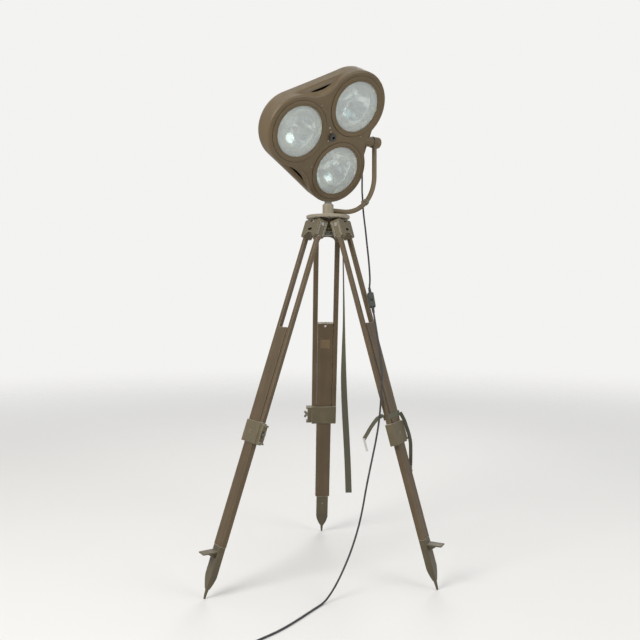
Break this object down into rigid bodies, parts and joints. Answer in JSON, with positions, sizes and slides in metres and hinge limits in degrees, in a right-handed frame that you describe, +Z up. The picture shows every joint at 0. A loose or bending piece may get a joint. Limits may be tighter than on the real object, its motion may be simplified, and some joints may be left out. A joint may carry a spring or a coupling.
{
  "type": "surgical floor lamp",
  "caption": "Floor-standing operating lamp: a lobed head with round lenses tilts in a side yoke that turns on a folding tripod with sliding, clamped legs and pointed feet.",
  "frame": {"origin": "on the floor, on the tripod's own upright axis, midway under the round plate", "axes": "+Z up; +Y towards the back leg; the picture looks along +Y, so +X is to its right"},
  "size_m": [0.8846, 1.2522, 1.9454],
  "materials": {
    "olive_paint": "satin",
    "painted_ash": "satin",
    "cast_fittings": "satin",
    "dark_steel": "satin",
    "bright_steel": "satin",
    "lens_glass": "polished",
    "silvered": "polished",
    "bulb_glass": "polished",
    "black_rubber": "matte",
    "dark_plastic": "matte",
    "terminal_plastic": "matte",
    "webbing": "matte"
  },
  "bodies": {
    "tripod_head": {"tripod_plate": "olive_paint", "leg_spider": "cast_fittings", "spigot_post": "dark_steel", "hub_bolt": "olive_paint", "centre_nut": "dark_steel", "hinge_pins": "dark_steel", "strap_ring": "dark_steel", "sling_strap": "webbing", "cable_drop": "black_rubber", "inline_switch": "dark_plastic", "cable_lower": "black_rubber", "cable_coil": "black_rubber", "plug": "dark_plastic"},
    "yoke": {"yoke_arm": "olive_paint", "yoke_hub": "olive_paint", "pivot_bolt": "olive_paint", "friction_washer": "dark_steel", "cable_clip": "olive_paint", "cable_upper": "black_rubber"},
    "lamp_head": {"head_housing": "olive_paint", "rear_cover": "olive_paint", "rear_cover_screws": "dark_steel", "cable_box": "olive_paint", "terminal_block": "terminal_plastic", "cable_gland": "dark_plastic", "bezel_top": "olive_paint", "bezel_left": "olive_paint", "bezel_bottom": "olive_paint", "lens_glasses": "lens_glass", "lens_gaskets": "black_rubber", "reflectors": "silvered", "lamp_bridges": "bright_steel", "bulbs": "bulb_glass", "lamp_frame": "dark_steel", "face_screws": "dark_steel", "socket_screws": "bright_steel", "handle_socket": "dark_plastic", "pivot_boss": "olive_paint"},
    "switch_slide": {"switch_key": "dark_plastic"},
    "leg_left": {"bracket_left": "cast_fittings", "rails_left": "painted_ash", "collar_left": "cast_fittings"},
    "foot_left": {"slider_left": "painted_ash", "boot_left": "cast_fittings"},
    "wing_left": {"wing_screw_left": "dark_steel"},
    "leg_right": {"bracket_right": "cast_fittings", "rails_right": "painted_ash", "collar_right": "cast_fittings", "leg_strap": "webbing", "strap_buckles": "dark_steel"},
    "foot_right": {"slider_right": "painted_ash", "boot_right": "cast_fittings"},
    "wing_right": {"wing_screw_right": "dark_steel"},
    "leg_back": {"bracket_back": "cast_fittings", "rails_back": "painted_ash", "collar_back": "cast_fittings"},
    "foot_back": {"slider_back": "painted_ash", "boot_back": "cast_fittings"},
    "wing_back": {"wing_screw_back": "dark_steel"}
  },
  "joints": [
    {"name": "yoke_pan", "type": "hinge", "parent": "tripod_head", "child": "yoke", "pos_m": [0, 0, 1.4], "axis": [0, 0, 1], "range_deg": [-60, 60], "deforming": ["cable_drop"]},
    {"name": "head_tilt", "type": "hinge", "parent": "yoke", "child": "lamp_head", "pos_m": [0, 0, 1.6906], "axis": [0.8344, 0.5512, 0], "range_deg": [-75, 60], "deforming": ["cable_upper"]},
    {"name": "switch_slide", "type": "slide", "parent": "tripod_head", "child": "switch_slide", "axis": [0.0952, -0.4809, -0.8716], "range_m": [0, 0.005]},
    {"name": "leg_left_fold", "type": "hinge", "parent": "tripod_head", "child": "leg_left", "pos_m": [-0.05023, -0.029, 1.34], "axis": [0.5, -0.866, 0], "range_deg": [0, 19.15]},
    {"name": "leg_left_slide", "type": "slide", "parent": "leg_left", "child": "foot_left", "axis": [-0.2841, -0.164, -0.9446], "range_m": [-0.3, 0.33]},
    {"name": "leg_left_clamp", "type": "hinge", "parent": "leg_left", "child": "wing_left", "pos_m": [-0.28123, -0.16237, 0.572], "axis": [0.5, -0.866, 0], "range_deg": [0, 270]},
    {"name": "leg_right_fold", "type": "hinge", "parent": "tripod_head", "child": "leg_right", "pos_m": [0.05023, -0.029, 1.34], "axis": [0.5, 0.866, 0], "range_deg": [0, 16.12], "deforming": ["leg_strap"]},
    {"name": "leg_right_slide", "type": "slide", "parent": "leg_right", "child": "foot_right", "axis": [0.2404, -0.1388, -0.9607], "range_m": [-0.3, 0.33]},
    {"name": "leg_right_clamp", "type": "hinge", "parent": "leg_right", "child": "wing_right", "pos_m": [0.24566, -0.14183, 0.55895], "axis": [0.5, 0.866, 0], "range_deg": [0, 270]},
    {"name": "leg_back_fold", "type": "hinge", "parent": "tripod_head", "child": "leg_back", "pos_m": [0, 0.058, 1.34], "axis": [-1, 0, 0], "range_deg": [0, 17.37]},
    {"name": "leg_back_slide", "type": "slide", "parent": "leg_back", "child": "foot_back", "axis": [0, 0.2986, -0.9544], "range_m": [-0.3, 0.33]},
    {"name": "leg_back_clamp", "type": "hinge", "parent": "leg_back", "child": "wing_back", "pos_m": [0, 0.30076, 0.56409], "axis": [-1, 0, 0], "range_deg": [0, 270]}
  ]
}
